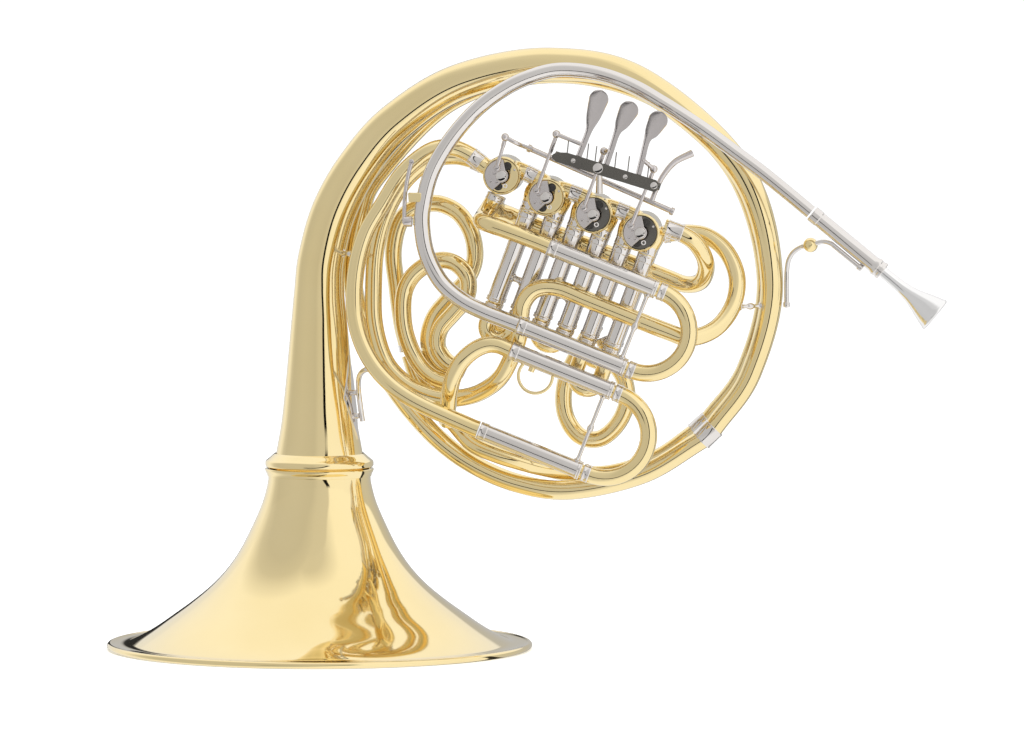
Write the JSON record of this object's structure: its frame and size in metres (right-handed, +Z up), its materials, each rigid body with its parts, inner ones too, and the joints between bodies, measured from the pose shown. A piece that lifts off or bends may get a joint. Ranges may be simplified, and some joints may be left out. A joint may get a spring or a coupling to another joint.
{
  "type": "french horn",
  "caption": "Double french horn with a coiled brass body, screw-on bell flare, rotary valves with ball-joint key linkages and pull-out slides, standing on its bell rim.",
  "frame": {"origin": "centre of the bounding box on the plane of the bell rim, where the horn rests", "axes": "+Z up along the bell axis away from the rim, +X from the bell towards the mouthpiece, -Y towards the player's hand side with the keys and leadpipe"},
  "size_m": [0.6104, 0.31, 0.4375],
  "materials": {
    "lacquered_brass": "polished yellow brass under clear lacquer",
    "nickel_silver": "polished nickel silver",
    "silver_plate": "bright silver plate",
    "steel": "darkened satin steel"
  },
  "bodies": {
    "corpus": {"ball_brace": "nickel_silver", "bell_screw_ring": "lacquered_brass", "bell_tail": "lacquered_brass", "branch_ferrule": "nickel_silver", "change_loop": "lacquered_brass", "change_valve_casing": "lacquered_brass", "crossover": "lacquered_brass", "first_branch": "lacquered_brass", "first_return": "lacquered_brass", "first_tuning_slide_sleeves": "nickel_silver", "first_valve_casing": "lacquered_brass", "first_valve_passage": "nickel_silver", "inner_branch": "lacquered_brass", "key_saddle": "steel", "leadpipe": "nickel_silver", "lower_curl": "lacquered_brass", "lower_loop": "lacquered_brass", "main_tuning_slide_sleeves": "nickel_silver", "mouthpiece_receiver": "nickel_silver", "right_loop_inner": "lacquered_brass", "right_loop_outer": "lacquered_brass", "second_loop": "lacquered_brass", "second_valve_casing": "lacquered_brass", "second_valve_passage": "nickel_silver", "tail_ferrule": "nickel_silver", "third_valve_casing": "lacquered_brass", "third_valve_passage": "nickel_silver", "upper_curl": "lacquered_brass", "valve_slide_1_sleeves": "nickel_silver", "valve_slide_2_sleeves": "nickel_silver", "valve_slide_3_sleeves": "nickel_silver"},
    "bell": {"bell_flare": "lacquered_brass", "bell_nut_ring": "lacquered_brass"},
    "mouthpiece": {"mouthpiece": "silver_plate"},
    "main_slide": {"main_tuning_slide": "lacquered_brass"},
    "first_slide": {"first_tuning_slide": "lacquered_brass"},
    "valve_slide_1_front": {"valve_slide_1_front": "lacquered_brass"},
    "valve_slide_1_back": {"valve_slide_1_back": "lacquered_brass"},
    "valve_slide_2_front": {"valve_slide_2_front": "lacquered_brass"},
    "valve_slide_2_back": {"valve_slide_2_back": "lacquered_brass"},
    "valve_slide_3_front": {"valve_slide_3_front": "lacquered_brass"},
    "valve_slide_3_back": {"valve_slide_3_back": "lacquered_brass"},
    "change_rotor": {"change_valve_rotor": "nickel_silver", "change_stop_arm": "nickel_silver"},
    "change_link": {"change_link_rod": "nickel_silver"},
    "first_rotor": {"first_valve_rotor": "nickel_silver", "first_stop_arm": "nickel_silver"},
    "first_link": {"first_link_rod": "nickel_silver"},
    "second_rotor": {"second_valve_rotor": "nickel_silver", "second_stop_arm": "nickel_silver"},
    "second_link": {"second_link_rod": "nickel_silver"},
    "third_rotor": {"third_valve_rotor": "nickel_silver", "third_stop_arm": "nickel_silver"},
    "third_link": {"third_link_rod": "nickel_silver"},
    "finger_lever_1": {"finger_lever_1": "nickel_silver"},
    "finger_lever_2": {"finger_lever_2": "nickel_silver"},
    "finger_lever_3": {"finger_lever_3": "nickel_silver"},
    "thumb_lever": {"thumb_lever": "nickel_silver"},
    "water_key": {"water_key": "nickel_silver"}
  },
  "joints": [
    {"name": "bell_unscrews", "type": "slide", "parent": "corpus", "child": "bell", "axis": [0, 0, -1], "range_m": [0, 0.04]},
    {"name": "mouthpiece_pulls_out", "type": "slide", "parent": "corpus", "child": "mouthpiece", "axis": [0.7719, 0, -0.6357], "range_m": [0, 0.03]},
    {"name": "main_slide_pull", "type": "slide", "parent": "corpus", "child": "main_slide", "axis": [0.9291, 0, -0.3697], "range_m": [0, 0.05]},
    {"name": "first_slide_pull", "type": "slide", "parent": "corpus", "child": "first_slide", "axis": [0.9291, 0, -0.3697], "range_m": [0, 0.05]},
    {"name": "valve_slide_1_front_pull", "type": "slide", "parent": "corpus", "child": "valve_slide_1_front", "axis": [-0.3486, 0, -0.9373], "range_m": [0, 0.02]},
    {"name": "valve_slide_1_back_pull", "type": "slide", "parent": "corpus", "child": "valve_slide_1_back", "axis": [-0.3486, 0, -0.9373], "range_m": [0, 0.02]},
    {"name": "valve_slide_2_front_pull", "type": "slide", "parent": "corpus", "child": "valve_slide_2_front", "axis": [-0.3486, 0, -0.9373], "range_m": [0, 0.02]},
    {"name": "valve_slide_2_back_pull", "type": "slide", "parent": "corpus", "child": "valve_slide_2_back", "axis": [-0.3486, 0, -0.9373], "range_m": [0, 0.02]},
    {"name": "valve_slide_3_front_pull", "type": "slide", "parent": "corpus", "child": "valve_slide_3_front", "axis": [-0.3486, 0, -0.9373], "range_m": [0, 0.02]},
    {"name": "valve_slide_3_back_pull", "type": "slide", "parent": "corpus", "child": "valve_slide_3_back", "axis": [-0.3486, 0, -0.9373], "range_m": [0, 0.02]},
    {"name": "change_rotor_turn", "type": "hinge", "parent": "corpus", "child": "change_rotor", "pos_m": [-0.01471, -0.01, 0.346], "axis": [0, -1, 0], "range_deg": [0, 90]},
    {"name": "change_link_swing", "type": "hinge", "parent": "change_rotor", "child": "change_link", "pos_m": [-0.01759, -0.045, 0.35216], "axis": [0, -1, 0], "range_deg": [-90, 0]},
    {"name": "first_rotor_turn", "type": "hinge", "parent": "corpus", "child": "first_rotor", "pos_m": [0.01729, -0.01, 0.3307], "axis": [0, -1, 0], "range_deg": [0, 90]},
    {"name": "first_link_swing", "type": "hinge", "parent": "first_rotor", "child": "first_link", "pos_m": [0.01101, -0.045, 0.33597], "axis": [0, -1, 0], "range_deg": [-90, 0]},
    {"name": "second_rotor_turn", "type": "hinge", "parent": "corpus", "child": "second_rotor", "pos_m": [0.05129, -0.01, 0.3183], "axis": [0, -1, 0], "range_deg": [0, 90]},
    {"name": "second_link_swing", "type": "hinge", "parent": "second_rotor", "child": "second_link", "pos_m": [0.04501, -0.045, 0.32357], "axis": [0, -1, 0], "range_deg": [-90, 0]},
    {"name": "third_rotor_turn", "type": "hinge", "parent": "corpus", "child": "third_rotor", "pos_m": [0.08529, -0.01, 0.3054], "axis": [0, -1, 0], "range_deg": [0, 90]},
    {"name": "third_link_swing", "type": "hinge", "parent": "third_rotor", "child": "third_link", "pos_m": [0.07901, -0.045, 0.31067], "axis": [0, -1, 0], "range_deg": [-90, 0]},
    {"name": "finger_lever_1_press", "type": "hinge", "parent": "corpus", "child": "finger_lever_1", "pos_m": [0.04059, -0.058, 0.35638], "axis": [-0.9563, 0, 0.2924], "range_deg": [0, 14], "stiffness_Nm_per_rad": 0.12, "springref_deg": -20.05},
    {"name": "finger_lever_2_press", "type": "hinge", "parent": "corpus", "child": "finger_lever_2", "pos_m": [0.0606, -0.058, 0.35026], "axis": [-0.9563, 0, 0.2924], "range_deg": [0, 14], "stiffness_Nm_per_rad": 0.12, "springref_deg": -20.05},
    {"name": "finger_lever_3_press", "type": "hinge", "parent": "corpus", "child": "finger_lever_3", "pos_m": [0.08406, -0.058, 0.34309], "axis": [-0.9563, 0, 0.2924], "range_deg": [0, 14], "stiffness_Nm_per_rad": 0.12, "springref_deg": -20.05},
    {"name": "thumb_lever_press", "type": "hinge", "parent": "corpus", "child": "thumb_lever", "pos_m": [0.00479, -0.028, 0.3655], "axis": [0.916, 0, -0.4011], "range_deg": [0, 14], "stiffness_Nm_per_rad": 0.12, "springref_deg": -20.05},
    {"name": "water_key_press", "type": "hinge", "parent": "corpus", "child": "water_key", "pos_m": [-0.08161, -0.049, 0.335], "axis": [0, 1, 0], "range_deg": [0, 10], "stiffness_Nm_per_rad": 0.05, "springref_deg": -17.19}
  ],
  "couplings": [
    {"joint": "first_rotor_turn", "follows": "finger_lever_1_press", "ratio": 6.4286},
    {"joint": "first_link_swing", "follows": "finger_lever_1_press", "ratio": -6.4286},
    {"joint": "second_rotor_turn", "follows": "finger_lever_2_press", "ratio": 6.4286},
    {"joint": "second_link_swing", "follows": "finger_lever_2_press", "ratio": -6.4286},
    {"joint": "third_rotor_turn", "follows": "finger_lever_3_press", "ratio": 6.4286},
    {"joint": "third_link_swing", "follows": "finger_lever_3_press", "ratio": -6.4286},
    {"joint": "change_rotor_turn", "follows": "thumb_lever_press", "ratio": 6.4286},
    {"joint": "change_link_swing", "follows": "thumb_lever_press", "ratio": -6.4286}
  ]
}
